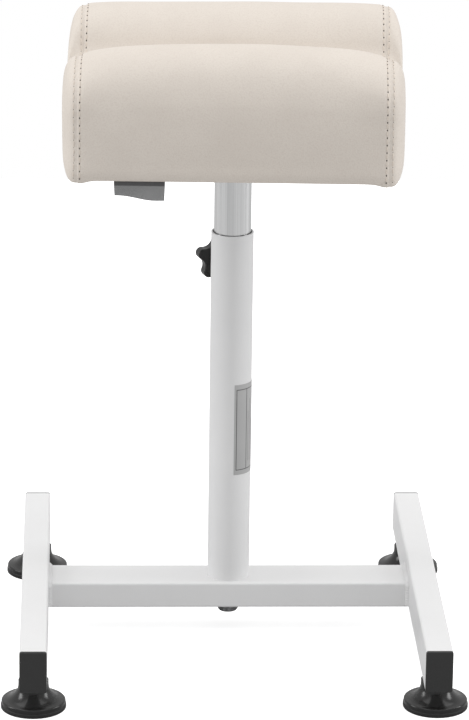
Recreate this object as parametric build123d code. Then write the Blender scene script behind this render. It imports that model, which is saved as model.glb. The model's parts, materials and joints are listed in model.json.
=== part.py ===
"""Height-adjustable leg rest: a two-humped cushion on a telescopic column with an H-shaped base.

Millimetres, +Z up. The origin lies on the floor, in the middle of the H base.
+X is the sitter's left to right, -Y is the front, where the sitter's feet come from.
"""
import os
from math import atan2, cos, radians, sin

from build123d import *

# ---- base: two rails along Y, joined by one crossbar along X
rail_width = 25.0
rail_height = 40.0
rail_length = 418.0
rail_spacing = 370.0            # between the middles of the two rails
rail_underside = 27.0           # above the floor, on the feet
crossbar_depth = 50.0
crossbar_height = 25.0
crossbar_y = 24.0               # the crossbar and the column stand behind the rails' middle
box_tube_wall = 1.5
box_tube_corner = 2.2
weld_leg = 4.5
weld_hollow = 0.4               # how far a bead's face is sunk, as a share of its leg

# ---- plugs in the rails' ends
cap_face = 3.0
cap_edge = 1.0
cap_insert_depth = 15.0
cap_insert_wall = 1.6
cap_fin = 1.2
cap_fin_proud = 0.8
cap_fin_pitch = 4.5

# ---- screw-in feet
front_foot_inset = 34.0         # from a rail's front end, its plug included
rear_foot_inset = 44.0
sole_radius = 30.0
sole_thickness = 4.0
sole_edge = 0.8
foot_step = 0.6                 # the moulded disc is this much smaller in radius than its sole
foot_rim = 8.2                  # height of the disc's upper edge
foot_edge = 1.5
foot_flare = ((21.5, 10.4), (15.6, 16.4))
foot_neck_radius = 13.9
foot_seat_gap = 0.2             # under the rail, with the foot screwed home
foot_socket_depth = 16.0
stud_radius = 4.0
stud_reach = 28.0               # above the rail's underside
stud_chamfer = 0.8
nut_radius = 5.5
nut_length = 14.0
nut_flange_radius = 7.0
nut_flange = 0.8
recess_clearance = 0.6
thread_clearance = 0.05

# ---- column
column_radius = 20.0
column_wall = 1.5
column_length = 344.0
column_plug_height = 14.0
column_bolt_radius = 5.0
column_bolt_flats = 17.0
column_bolt_head = 6.4
column_bolt_dome = 4.8          # how steeply the head's corners are turned off
washer_radius = 10.5
washer_thickness = 2.0
spring_washer_radius = 9.0
spring_washer_height = 2.6
spring_washer_slit = 1.6
spacer_wall = 2.75
hole_clearance = 0.25
bush_length = 60.0
bush_rim_drop = 0.2             # the bush lies this far below the tube's rim
running_clearance = 0.05

# ---- rating plate on the column
label_height = 90.0
label_bottom = 160.0
label_thickness = 0.2
label_start = -81.0             # degrees about the column, from +X
label_sweep = 104.0

# ---- clamp through the column's wall
clamp_below_rim = 37.4
clamp_azimuth = 108.0           # degrees about the column, from +X: behind and to the left
boss_radius = 7.5
boss_reach = 9.0
clamp_stud_radius = 4.0
clamp_hole_clearance = 0.4
tip_radius = 3.3
tip_length = 3.0
tip_gap = 0.2                   # between the tip and the sliding tube
tip_spigot_radius = 1.5
tip_spigot_length = 3.0
knob_lobes = 5
knob_lobe_radius = 5.3
knob_lobe_circle = 16.0
knob_valley_radius = 14.6
knob_thickness = 11.0
knob_edge = 1.4
knob_hub_radius = 8.5
knob_hub_length = 4.5
knob_boss_gap = 2.0
knob_turned = 37.0              # degrees, how the lobes stand when it is tight
knob_stud_depth = 12.0

# ---- sliding tube
slide_radius = 17.5
slide_wall = 1.5
glide_length = 30.0
glide_lip = 1.5
glide_lip_inside = 0.5          # the lip reaches this far inside the tube's bore
glide_step = 0.1
travel_up = 150.0
stop_gap = 0.3                  # between the glide and the bush at the top of the travel
slide_plug_flange = 2.5
slide_plug_depth = 14.0
slide_plug_wall = 2.5
slide_plug_neck = 1.0           # the neck under the lip is this much smaller in radius than the bore

# ---- cushion
cushion_turn = -2.3             # degrees, how far the cushion is turned on its round tube
cushion_bottom = 475.0
cushion_height = 123.0
cushion_length = 302.4
cushion_depth = 250.0
hump_radius = 52.0
trough_depth = 43.0
cushion_corner = 12.0
cover_thickness = 1.2
hem_width = 35.0
cloth_thickness = 0.8
cloth_margin = 18.0
board_thickness = 12.0
board_inset = 13.0
plate_size = 140.0
plate_thickness = 4.0
plate_corner = 12.0
screw_spacing = 110.0
screw_radius = 3.0
screw_head_radius = 6.0
screw_head = 3.6
screw_head_round = 2.1
screw_drive_radius = 2.25
screw_drive_depth = 1.8
tee_barrel_radius = 4.2
tee_flange_radius = 9.0
tee_flange = 1.4
tee_barrel_short = 2.0          # the barrel ends this far above the board's underside
plate_weld_leg = 4.0
plate_weld_toe = 0.2
staple_width = 10.0
staple_wire = 0.8
staple_depth = 7.0
staple_pitch = 38.0
staple_margin = 26.0
tag_width = 46.4
tag_drop = 17.0
tag_thickness = 0.7
tag_centre = -84.6

overshoot = 1.0                 # cutters run this far past what they cut

# ---- worked out from the sizes above
crossbar_top = rail_underside + crossbar_height
crossbar_length = rail_spacing - rail_width
rail_x = rail_spacing / 2
foot_positions = {
    "front_left": (-rail_x, -rail_length / 2 - cap_face + front_foot_inset),
    "front_right": (rail_x, -rail_length / 2 - cap_face + front_foot_inset),
    "rear_left": (-rail_x, rail_length / 2 + cap_face - rear_foot_inset),
    "rear_right": (rail_x, rail_length / 2 + cap_face - rear_foot_inset),
}
column_bore = column_radius - column_wall
column_top = crossbar_top + column_length
clamp_z = column_top - clamp_below_rim
bush_bottom = column_top - bush_rim_drop - bush_length
glide_bottom = bush_bottom - stop_gap - travel_up - glide_length
slide_bottom = glide_bottom + glide_lip
cushion_top = cushion_bottom + cushion_height
hump_y = cushion_depth / 2 - hump_radius
hump_z = cushion_top - hump_radius
trough_z = cushion_top - trough_depth
trough_rise = trough_z - hump_z
trough_radius = ((hump_y ** 2 + trough_rise ** 2 - hump_radius ** 2)
                 / (2 * (hump_radius - trough_rise)))
panel_length = cushion_length - 2 * cover_thickness
board_bottom = cushion_bottom + cover_thickness
board_top = board_bottom + board_thickness
board_length = cushion_length - 2 * board_inset
board_depth = cushion_depth - 2 * board_inset
cloth_bottom = cushion_bottom - cloth_thickness
plate_bottom = cloth_bottom - plate_thickness
screw_places = [(x * screw_spacing / 2, y * screw_spacing / 2) for x in (-1, 1) for y in (-1, 1)]


def post(radius, low, high, x=0, y=0):
    """Upright cylinder from one height to another."""
    return Pos(x, y, (low + high) / 2) * Cylinder(radius, high - low)


def ring(outer, inner, low, high):
    """Upright tube; the cutter runs past both ends."""
    return post(outer, low, high) - post(inner, low - overshoot, high + overshoot)


def block(size, centre):
    return Pos(*centre) * Box(*size)


def box_tube(width, height, length):
    """Rectangular tube with rounded corners, along +Z from 0."""
    outer = RectangleRounded(width, height, box_tube_corner)
    inner = RectangleRounded(width - 2 * box_tube_wall, height - 2 * box_tube_wall,
                             box_tube_corner - box_tube_wall)
    return extrude(outer - inner, length)


def on_column(shape):
    return Pos(0, crossbar_y, 0) * shape


def on_cushion(shape):
    """Stands a piece of the cushion on the column, turned as the cushion is."""
    return Pos(0, crossbar_y, 0) * Rot(0, 0, cushion_turn) * shape


def on_clamp(shape):
    """Lays a piece that was made along +X on the clamp's axis."""
    return Pos(0, crossbar_y, clamp_z) * Rot(0, 0, clamp_azimuth) * shape


# ---------------------------------------------------------------- base
def rail(side):
    x = side * rail_x
    tube = Pos(x, rail_length / 2, rail_underside + rail_height / 2) * Rot(90, 0, 0) \
        * box_tube(rail_width, rail_height, rail_length)
    for foot_x, foot_y in foot_positions.values():
        if foot_x * side > 0:
            tube -= post(nut_radius, rail_underside - overshoot,
                         rail_underside + box_tube_wall + overshoot, foot_x, foot_y)
    return tube


def crossbar():
    tube = Pos(-crossbar_length / 2, crossbar_y, rail_underside + crossbar_height / 2) \
        * Rot(0, 90, 0) * box_tube(crossbar_height, crossbar_depth, crossbar_length)
    hole = post(column_bolt_radius + hole_clearance, rail_underside - overshoot, crossbar_top + overshoot)
    return tube - on_column(hole)


def weld_bead(length):
    """Fillet weld along +Z from 0, its two legs along +X and +Y."""
    sunk = weld_leg * weld_hollow
    legs = Polyline((0, 0), (weld_leg, 0), (sunk, sunk), (0, weld_leg), close=True)
    return extrude(make_face(legs), length)


def rail_welds(side):
    """One bead round the front, the top and the back of a crossbar end."""
    face_x = side * (rail_x - rail_width / 2)
    front = crossbar_y - crossbar_depth / 2
    back = crossbar_y + crossbar_depth / 2
    upright = crossbar_height - box_tube_corner
    across = crossbar_depth - 2 * box_tube_corner
    front_turn, back_turn, top_turn = (180, 90, 180) if side > 0 else (270, 0, 0)
    low = rail_underside + box_tube_corner / 2
    beads = [
        Pos(face_x, front, low) * Rot(0, 0, front_turn) * weld_bead(upright),
        Pos(face_x, back, low) * Rot(0, 0, back_turn) * weld_bead(upright),
    ]
    top = Rot(90, 0, 0) * weld_bead(across)
    beads.append(Pos(face_x, back - box_tube_corner if side < 0 else front + box_tube_corner, crossbar_top)
                 * Rot(0, 0, top_turn) * top)
    return beads


def end_cap(side, end):
    """Moulded plug: a face as large as the tube, and a hollow insert with gripping fins."""
    bore_width = rail_width - 2 * box_tube_wall
    bore_height = rail_height - 2 * box_tube_wall
    face = extrude(RectangleRounded(rail_width, rail_height, box_tube_corner), cap_face)
    face = fillet(face.edges().group_by(Axis.Z)[-1], cap_edge)
    core = Rectangle(bore_width - 2 * cap_fin_proud, bore_height - 2 * cap_fin_proud)
    hollow = Rectangle(bore_width - 2 * (cap_fin_proud + cap_insert_wall),
                       bore_height - 2 * (cap_fin_proud + cap_insert_wall))
    insert = extrude(core, -cap_insert_depth)
    fin = extrude(RectangleRounded(bore_width, bore_height, box_tube_corner - box_tube_wall), cap_fin)
    fin_count = int((cap_insert_depth - cap_fin) // cap_fin_pitch)
    for index in range(fin_count):
        insert += Pos(0, 0, -(index + 1) * cap_fin_pitch) * fin
    cap = face + (insert - extrude(hollow, -cap_insert_depth))
    turn = 90 if end < 0 else -90
    return Pos(side * rail_x, end * rail_length / 2, rail_underside + rail_height / 2) \
        * Rot(turn, 0, 0) * cap


# ---------------------------------------------------------------- feet
def foot_nut(x, y):
    """Rivet nut in the rail's lower wall."""
    top = rail_underside + nut_length - nut_flange
    nut = post(nut_radius, rail_underside - nut_flange / 2, top, x, y)
    nut += post(nut_flange_radius, rail_underside - nut_flange, rail_underside, x, y)
    return nut - post(stud_radius + thread_clearance, rail_underside - nut_flange - overshoot,
                      top + overshoot, x, y)


def foot_sole(x, y):
    sole = post(sole_radius, 0, sole_thickness)
    return Pos(x, y, 0) * fillet(sole.edges(), sole_edge)


def foot_body(x, y):
    """Moulded disc with a flare up to a neck that meets the rail."""
    neck_top = rail_underside - foot_seat_gap
    rim_radius = sole_radius - foot_step
    turn = foot_edge * (1 - cos(radians(45)))
    with BuildPart() as foot:
        with BuildSketch(Plane.XZ):
            with BuildLine():
                Polyline((foot_neck_radius, neck_top), (0, neck_top), (0, sole_thickness),
                         (rim_radius, sole_thickness), (rim_radius, foot_rim - foot_edge))
                ThreePointArc((rim_radius, foot_rim - foot_edge), (rim_radius - turn, foot_rim - turn),
                              (rim_radius - foot_edge, foot_rim))
                Spline((rim_radius - foot_edge, foot_rim), *foot_flare, (foot_neck_radius, neck_top),
                       tangents=((-1, 0.12), (0, 1)))
            make_face()
        revolve(axis=Axis.Z)
    recess = post(nut_flange_radius + recess_clearance, neck_top - nut_flange - recess_clearance,
                  neck_top + overshoot)
    socket = post(stud_radius, neck_top - foot_socket_depth, neck_top + overshoot)
    return Pos(x, y, 0) * (foot.part - recess - socket)


def foot_stud(x, y):
    low = rail_underside - foot_seat_gap - foot_socket_depth
    stud = post(stud_radius, low, rail_underside + stud_reach)
    stud = chamfer(stud.edges().group_by(Axis.Z)[-1], stud_chamfer)
    return Pos(x, y, 0) * stud


# ---------------------------------------------------------------- column
def column_tube():
    tube = ring(column_radius, column_bore, crossbar_top, column_top)
    return on_column(tube) - clamp_bore(clamp_stud_radius + clamp_hole_clearance)


def clamp_bore(radius):
    """Cutter from the column's axis out through the side that carries the clamp."""
    reach = column_radius + boss_reach + overshoot
    return on_clamp(Pos(reach / 2, 0, 0) * Rot(0, 90, 0) * Cylinder(radius, reach))


def column_plug():
    """Threaded disc welded into the tube's foot."""
    plug = post(column_bore, crossbar_top, crossbar_top + column_plug_height)
    hole = post(column_bolt_radius + thread_clearance, crossbar_top - overshoot,
                crossbar_top + column_plug_height + overshoot)
    return on_column(plug - hole)


def crossbar_spacer():
    """Sleeve that keeps the bolt from crushing the crossbar."""
    bore = column_bolt_radius + hole_clearance
    return on_column(ring(bore + spacer_wall, bore,
                          rail_underside + box_tube_wall, crossbar_top - box_tube_wall))


def column_washer():
    return on_column(ring(washer_radius, column_bolt_radius + hole_clearance,
                          rail_underside - washer_thickness, rail_underside))


def column_spring_washer():
    top = rail_underside - washer_thickness
    low = top - spring_washer_height
    washer = ring(spring_washer_radius, column_bolt_radius + hole_clearance, low, top)
    slit = block((spring_washer_radius * 2, spring_washer_slit, spring_washer_height + 2 * overshoot),
                 (spring_washer_radius, 0, (low + top) / 2))
    return on_column(washer - slit)


def column_bolt():
    """Hexagon bolt from under the crossbar into the plug."""
    head_top = rail_underside - washer_thickness - spring_washer_height
    corner_radius = column_bolt_flats / 2 / cos(radians(30))
    head_bottom = head_top - column_bolt_head
    head = Pos(0, 0, head_bottom) * extrude(RegularPolygon(corner_radius, 6), column_bolt_head)
    dome = Pos(0, 0, head_bottom) * Cone(
        column_bolt_flats / 2, corner_radius + column_bolt_dome, column_bolt_head,
        align=(Align.CENTER, Align.CENTER, Align.MIN))
    shank = post(column_bolt_radius, head_top, crossbar_top + column_plug_height)
    return on_column((head & dome) + shank)


def guide_bush():
    """Plastic sleeve in the column's mouth; the sliding tube runs in it."""
    sleeve = ring(column_bore, slide_radius + running_clearance, bush_bottom, bush_bottom + bush_length)
    return on_column(sleeve) - clamp_bore(clamp_stud_radius + clamp_hole_clearance)


def rating_label():
    band = ring(column_radius + label_thickness, column_radius, label_bottom, label_bottom + label_height)
    reach = 4 * column_radius
    corners = [(0, 0)]
    for share in (0, 0.5, 1):
        angle = radians(label_start + share * label_sweep)
        corners.append((reach * cos(angle), reach * sin(angle)))
    wedge = extrude(make_face(Polyline(*corners, close=True)), label_height)
    return on_column(band & (Pos(0, 0, label_bottom) * wedge))


# ---------------------------------------------------------------- clamp
def along_x(radius, start, end):
    return Pos((start + end) / 2, 0, 0) * Rot(0, 90, 0) * Cylinder(radius, end - start)


tip_start = slide_radius + tip_gap
stud_start = tip_start + tip_length
boss_end = column_radius + boss_reach
hub_start = boss_end + knob_boss_gap
star_start = hub_start + knob_hub_length


def clamp_boss():
    """Threaded boss welded to the column, its foot shaped to the tube."""
    bore = along_x(clamp_stud_radius + thread_clearance, -overshoot, boss_end + overshoot)
    tube = Cylinder(column_radius, 4 * boss_radius)
    return on_clamp(along_x(boss_radius, 0, boss_end) - bore - tube)


def clamp_tip():
    tip = along_x(tip_radius, tip_start, stud_start - running_clearance)
    return on_clamp(tip + along_x(tip_spigot_radius, tip_start, stud_start + tip_spigot_length))


def clamp_stud():
    stud = along_x(clamp_stud_radius, stud_start, star_start + knob_stud_depth - knob_hub_length)
    socket = along_x(tip_spigot_radius + running_clearance, stud_start - overshoot,
                     stud_start + tip_spigot_length + running_clearance)
    return on_clamp(stud - socket)


def star_outline():
    """Round lobes joined by hollows that are tangent to them."""
    half_step = radians(180 / knob_lobes)
    offset = knob_lobe_circle * cos(half_step) - knob_valley_radius
    half_chord = knob_lobe_circle * sin(half_step)
    hollow = ((offset ** 2 + half_chord ** 2 - knob_lobe_radius ** 2)
              / (2 * (knob_lobe_radius + offset)))
    lobes, hollows, corners = [], [], []
    for index in range(knob_lobes):
        angle = 2 * index * half_step
        lobe = (knob_lobe_circle * cos(angle), knob_lobe_circle * sin(angle))
        away = knob_valley_radius + hollow
        valley = (away * cos(angle + half_step), away * sin(angle + half_step))
        corners += [lobe, valley]
        lobes.append(Pos(*lobe) * Circle(knob_lobe_radius))
        hollows.append(Pos(*valley) * Circle(hollow))
    star = make_face(Polyline(*corners, close=True))
    return star - hollows + lobes


def clamp_knob():
    star = extrude(star_outline(), knob_thickness)
    star = fillet(star.edges().group_by(Axis.Z)[-1] + star.edges().group_by(Axis.Z)[0], knob_edge)
    hub = Pos(0, 0, -knob_hub_length / 2) * Cylinder(knob_hub_radius, knob_hub_length)
    hole_end = knob_stud_depth - knob_hub_length
    hole = post(clamp_stud_radius, -knob_hub_length - overshoot, hole_end)
    knob = Rot(0, 0, knob_turned) * (star + hub) - hole
    return on_clamp(Pos(star_start, 0, 0) * Rot(0, 90, 0) * knob)


# ---------------------------------------------------------------- sliding tube
def lower_glide():
    """Plastic sleeve round the tube's lower end, its lip held between the tube and the plug."""
    top = glide_bottom + glide_length
    outer = column_bore - running_clearance
    glide = ring(outer, slide_radius + running_clearance, slide_bottom - glide_step, top)
    lip = ring(outer, slide_radius - slide_wall - glide_lip_inside,
               glide_bottom + running_clearance, slide_bottom - running_clearance)
    return on_column(glide + lip)


def sliding_tube():
    return on_column(ring(slide_radius, slide_radius - slide_wall, slide_bottom, plate_bottom))


def slide_plug():
    """Cup pressed into the tube's lower end; its flange carries the glide's lip."""
    bore = slide_radius - slide_wall
    neck = bore - slide_plug_neck
    plug = post(slide_radius, glide_bottom - slide_plug_flange, glide_bottom)
    plug += post(neck, glide_bottom, slide_bottom)
    plug += post(bore, slide_bottom, slide_bottom + slide_plug_depth)
    hollow = post(bore - slide_plug_wall, glide_bottom, slide_bottom + slide_plug_depth + overshoot)
    return on_column(plug - hollow)


# ---------------------------------------------------------------- cushion
def wave_face(inset):
    """Upright cross-section of the cushion, two humps with a trough between, set in by a thickness."""
    hump = hump_radius - inset
    trough = trough_radius + inset
    corner = cushion_corner - inset
    side = cushion_depth / 2 - inset
    corner_y = cushion_depth / 2 - cushion_corner
    corner_z = cushion_bottom + cushion_corner
    trough_centre = trough_z + trough_radius
    lean = atan2(trough_centre - hump_z, -hump_y)
    mid_hump = lean / 2
    join = (hump_y + hump * cos(lean), hump_z + hump * sin(lean))
    diagonal = corner * cos(radians(45))
    with BuildSketch() as sketch:
        with BuildLine():
            for sign in (-1, 1):
                Line((0, cushion_bottom + inset), (sign * corner_y, cushion_bottom + inset))
                ThreePointArc((sign * corner_y, cushion_bottom + inset),
                              (sign * (corner_y + diagonal), corner_z - diagonal), (sign * side, corner_z))
                Line((sign * side, corner_z), (sign * side, hump_z))
                ThreePointArc((sign * side, hump_z),
                              (sign * (hump_y + hump * cos(mid_hump)), hump_z + hump * sin(mid_hump)),
                              (sign * join[0], join[1]))
            ThreePointArc((-join[0], join[1]), (0, trough_centre - trough), join)
        make_face()
    return sketch.sketch


def wave_solid(inset, length, start):
    """The cross-section carried along X."""
    return extrude(Pos(start, 0, 0) * (Plane.YZ * wave_face(inset)), length)


def board():
    blank = block((board_length, board_depth, board_thickness), (0, 0, (board_bottom + board_top) / 2))
    return fillet(blank.edges().filter_by(Axis.Z), cushion_corner)


def base_board():
    blank = board()
    for x, y in screw_places:
        blank -= post(tee_barrel_radius, board_bottom - overshoot, board_top + overshoot, x, y)
        blank -= post(tee_flange_radius, board_top - tee_flange, board_top + overshoot, x, y)
    return on_cushion(blank)


def foam_core():
    return on_cushion(wave_solid(cover_thickness, panel_length, -panel_length / 2) - board())


def cover_main_panel():
    skin = wave_solid(0, panel_length, -panel_length / 2)
    skin -= wave_solid(cover_thickness, panel_length + 2 * overshoot, -panel_length / 2 - overshoot)
    opening = board_depth - 2 * hem_width
    return on_cushion(skin - block((panel_length + 2 * overshoot, opening, cover_thickness + 2 * overshoot),
                                   (0, 0, cushion_bottom + cover_thickness / 2)))


def cover_end_panel(side):
    start = panel_length / 2 if side > 0 else -panel_length / 2 - cover_thickness
    panel = wave_solid(0, cover_thickness, start)
    hem = block((hem_width, board_depth - 2 * hem_width - 2 * cover_thickness, cover_thickness),
                (side * (panel_length - hem_width) / 2, 0, cushion_bottom + cover_thickness / 2))
    return on_cushion(panel + hem)


def bottom_cloth():
    cloth = block((cushion_length - 2 * cloth_margin, cushion_depth - 2 * cloth_margin, cloth_thickness),
                  (0, 0, cushion_bottom - cloth_thickness / 2))
    for x, y in screw_places:
        cloth -= post(tee_barrel_radius, cloth_bottom - overshoot, cushion_bottom + overshoot, x, y)
    return on_cushion(cloth)


def staple(x, y, turn):
    crown = block((staple_width, staple_wire, staple_wire), (0, 0, cloth_bottom - staple_wire / 2))
    for sign in (-1, 1):
        crown += block((staple_wire, staple_wire, staple_depth),
                       (sign * (staple_width - staple_wire) / 2, 0, cloth_bottom + staple_depth / 2))
    return on_cushion(Pos(x, y, 0) * Rot(0, 0, turn) * crown)


def staples():
    """A row of staples along each edge of the cloth."""
    row = []
    for span, away, turn in ((cushion_length, cushion_depth, 0), (cushion_depth, cushion_length, 90)):
        free = span - 2 * staple_margin - staple_width
        count = int(free // staple_pitch) + 1
        for index in range(count):
            along = (index - (count - 1) / 2) * staple_pitch
            for sign in (-1, 1):
                across = sign * (away / 2 - staple_margin)
                place = (along, across) if turn == 0 else (across, along)
                row.append(staple(*place, turn))
    return row


def mounting_plate():
    corners = RectangleRounded(plate_size, plate_size, plate_corner)
    plate = Pos(0, 0, plate_bottom) * extrude(corners, plate_thickness)
    for x, y in screw_places:
        plate -= post(screw_radius + hole_clearance, plate_bottom - overshoot,
                      cloth_bottom + overshoot, x, y)
    return on_cushion(plate)


def plate_weld():
    """Fillet weld between the sliding tube and the plate."""
    collar = Pos(0, 0, plate_bottom - plate_weld_leg / 2) * Cone(
        slide_radius + plate_weld_toe, slide_radius + plate_weld_leg, plate_weld_leg)
    bore = post(slide_radius, plate_bottom - plate_weld_leg - overshoot, plate_bottom + overshoot)
    return on_column(collar - bore)


def plate_screw(x, y):
    head = post(screw_head_radius, plate_bottom - screw_head, plate_bottom)
    head = fillet(head.edges().group_by(Axis.Z)[0], screw_head_round)
    drive = Pos(0, 0, plate_bottom - screw_head) * extrude(
        RegularPolygon(screw_drive_radius, 6), screw_drive_depth)
    shank = post(screw_radius, plate_bottom, board_top)
    return on_cushion(Pos(x, y, 0) * (head - drive + shank))


def tee_nut(x, y):
    nut = post(tee_barrel_radius, board_bottom + tee_barrel_short, board_top)
    nut += post(tee_flange_radius, board_top - tee_flange, board_top)
    bore = post(screw_radius + thread_clearance, board_bottom, board_top + overshoot)
    return on_cushion(Pos(x, y, 0) * (nut - bore))


def woven_tag():
    """Folded tape, its tail sewn in beside the bottom cloth."""
    edge_y = -(cushion_depth / 2 - cushion_corner)
    drop = block((tag_width, tag_thickness, tag_drop),
                 (tag_centre, edge_y + tag_thickness / 2, cushion_bottom - tag_drop / 2))
    tail_length = cloth_margin - cushion_corner
    tail = block((tag_width, tail_length, tag_thickness),
                 (tag_centre, edge_y + tail_length / 2, cushion_bottom - tag_thickness / 2))
    return on_cushion(drop + tail)


# ---------------------------------------------------------------- all the pieces, by name
nodes = {
    "left_rail": rail(-1),
    "right_rail": rail(1),
    "crossbar": crossbar(),
    "crossbar_welds": Compound(rail_welds(-1) + rail_welds(1)),
    "column_tube": column_tube(),
    "column_plug": column_plug(),
    "crossbar_spacer": crossbar_spacer(),
    "column_bolt": column_bolt(),
    "column_washer": column_washer(),
    "column_spring_washer": column_spring_washer(),
    "guide_bush": guide_bush(),
    "rating_label": rating_label(),
    "clamp_boss": clamp_boss(),
    "clamp_tip": clamp_tip(),
    "clamp_stud": clamp_stud(),
    "clamp_knob": clamp_knob(),
    "lower_glide": lower_glide(),
    "sliding_tube": sliding_tube(),
    "slide_plug": slide_plug(),
    "mounting_plate": mounting_plate(),
    "plate_weld": plate_weld(),
    "plate_screws": Compound([plate_screw(*place) for place in screw_places]),
    "tee_nuts": Compound([tee_nut(*place) for place in screw_places]),
    "base_board": base_board(),
    "foam_core": foam_core(),
    "cover_main_panel": cover_main_panel(),
    "cover_left_panel": cover_end_panel(-1),
    "cover_right_panel": cover_end_panel(1),
    "bottom_cloth": bottom_cloth(),
    "staples": Compound(staples()),
    "woven_tag": woven_tag(),
}
for corner_name, (foot_x, foot_y) in foot_positions.items():
    side = 1 if foot_x > 0 else -1
    end = 1 if foot_y > 0 else -1
    nodes[corner_name + "_end_cap"] = end_cap(side, end)
    nodes[corner_name + "_foot_nut"] = foot_nut(foot_x, foot_y)
    nodes[corner_name + "_foot_stud"] = foot_stud(foot_x, foot_y)
    nodes[corner_name + "_foot"] = foot_body(foot_x, foot_y)
    nodes[corner_name + "_foot_sole"] = foot_sole(foot_x, foot_y)

os.makedirs("parts", exist_ok=True)
for name, shape in nodes.items():
    export_step(shape, f"parts/{name}.step")
print(len(nodes), "nodes, clamp axis at z", round(clamp_z, 2), "glide bottom", round(glide_bottom, 2))
print("trough radius", round(trough_radius, 2))
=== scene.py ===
import json
import math

import bmesh
import bpy
import numpy as np
from mathutils import Matrix, Vector, noise
from mathutils.bvhtree import BVHTree
from mathutils.kdtree import KDTree


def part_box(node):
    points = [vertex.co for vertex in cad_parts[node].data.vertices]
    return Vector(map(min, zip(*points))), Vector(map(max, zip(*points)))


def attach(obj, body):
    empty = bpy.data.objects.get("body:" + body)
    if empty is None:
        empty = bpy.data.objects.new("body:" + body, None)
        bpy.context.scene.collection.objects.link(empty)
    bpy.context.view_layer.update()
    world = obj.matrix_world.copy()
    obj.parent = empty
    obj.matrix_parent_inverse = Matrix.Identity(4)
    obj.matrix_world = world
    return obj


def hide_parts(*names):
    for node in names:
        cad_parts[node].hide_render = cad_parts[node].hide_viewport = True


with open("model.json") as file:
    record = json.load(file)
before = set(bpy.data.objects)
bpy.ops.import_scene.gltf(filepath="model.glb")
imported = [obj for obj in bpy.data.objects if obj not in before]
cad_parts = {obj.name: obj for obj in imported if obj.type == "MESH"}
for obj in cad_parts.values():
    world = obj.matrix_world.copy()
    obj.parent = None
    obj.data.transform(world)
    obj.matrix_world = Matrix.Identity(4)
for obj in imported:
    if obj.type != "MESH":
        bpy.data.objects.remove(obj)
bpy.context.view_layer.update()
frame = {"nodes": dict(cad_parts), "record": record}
scene = bpy.context.scene
cadNodes = frame["nodes"]
print("frame loaded,", len(cadNodes), "parts")


# camera, floor and lights, in metres, degrees and watts
viewSettings = {"place": (-0.14098, -3.70767, 1.50089), "lens": 207.74,
                "down": 18.2601, "turned": 2.21598, "tilted": 0.75413, "sensor": 36, "far": 60}
studio = {"floorHalf": 1.6, "floorSeen": (0.96, 0.96, 0.96, 1), "floorBounce": (0.55, 0.55, 0.55, 1),
          "floorGlow": 0.6, "backdrop": 1.0, "fill": 0.68, "topSize": 15.0, "topHeight": 12.0, "topBack": 0.3,
          "topPower": 735.0, "sideAway": 2.3, "sideHeight": 1.2, "sideSize": (0.7, 1.2), "sidePower": 15.0,
          "aimHeight": 0.3}


def makeCamera():
    down, turned, tilted = (math.radians(viewSettings[key]) for key in ("down", "turned", "tilted"))
    forward = Vector((math.sin(turned) * math.cos(down), math.cos(turned) * math.cos(down), -math.sin(down)))
    level = Vector((math.cos(turned), -math.sin(turned), 0))
    right = level * math.cos(tilted) + level.cross(forward) * math.sin(tilted)
    up = right.cross(forward)
    lens = bpy.data.cameras.new("Camera")
    lens.lens = viewSettings["lens"]
    lens.sensor_width = viewSettings["sensor"]
    lens.clip_end = viewSettings["far"]
    camera = bpy.data.objects.new("Camera", lens)
    scene.collection.objects.link(camera)
    camera.matrix_world = Matrix.Translation(viewSettings["place"]) \
        @ Matrix((right, up, -forward)).transposed().to_4x4()
    scene.camera = camera


def softbox(name, place, size, power):
    lamp = bpy.data.lights.new(name, "AREA")
    lamp.shape = "RECTANGLE"
    lamp.size, lamp.size_y = size
    lamp.energy = power
    box = bpy.data.objects.new(name, lamp)
    scene.collection.objects.link(box)
    box.location = place
    aim = Vector((0, 0, studio["aimHeight"])) - Vector(place)
    box.rotation_euler = aim.to_track_quat("-Z", "Y").to_euler()


def put(tree, kind, inputs=None, **settings):
    made = tree.nodes.new(kind)
    for key, value in settings.items():
        setattr(made, key, value)
    for key, value in (inputs or {}).items():
        if isinstance(value, bpy.types.NodeSocket):
            tree.links.new(value, made.inputs[key])
        else:
            made.inputs[key].default_value = value
    return made


def reckon(tree, operation, *values, clamp=False):
    terms = {index: value for index, value in enumerate(values)}
    return put(tree, "ShaderNodeMath", terms, operation=operation, use_clamp=clamp).outputs[0]


def cloudy(tree, place, scale, detail=2.0):
    return put(tree, "ShaderNodeTexNoise", {"Vector": place, "Scale": scale, "Detail": detail}).outputs[0]


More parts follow.
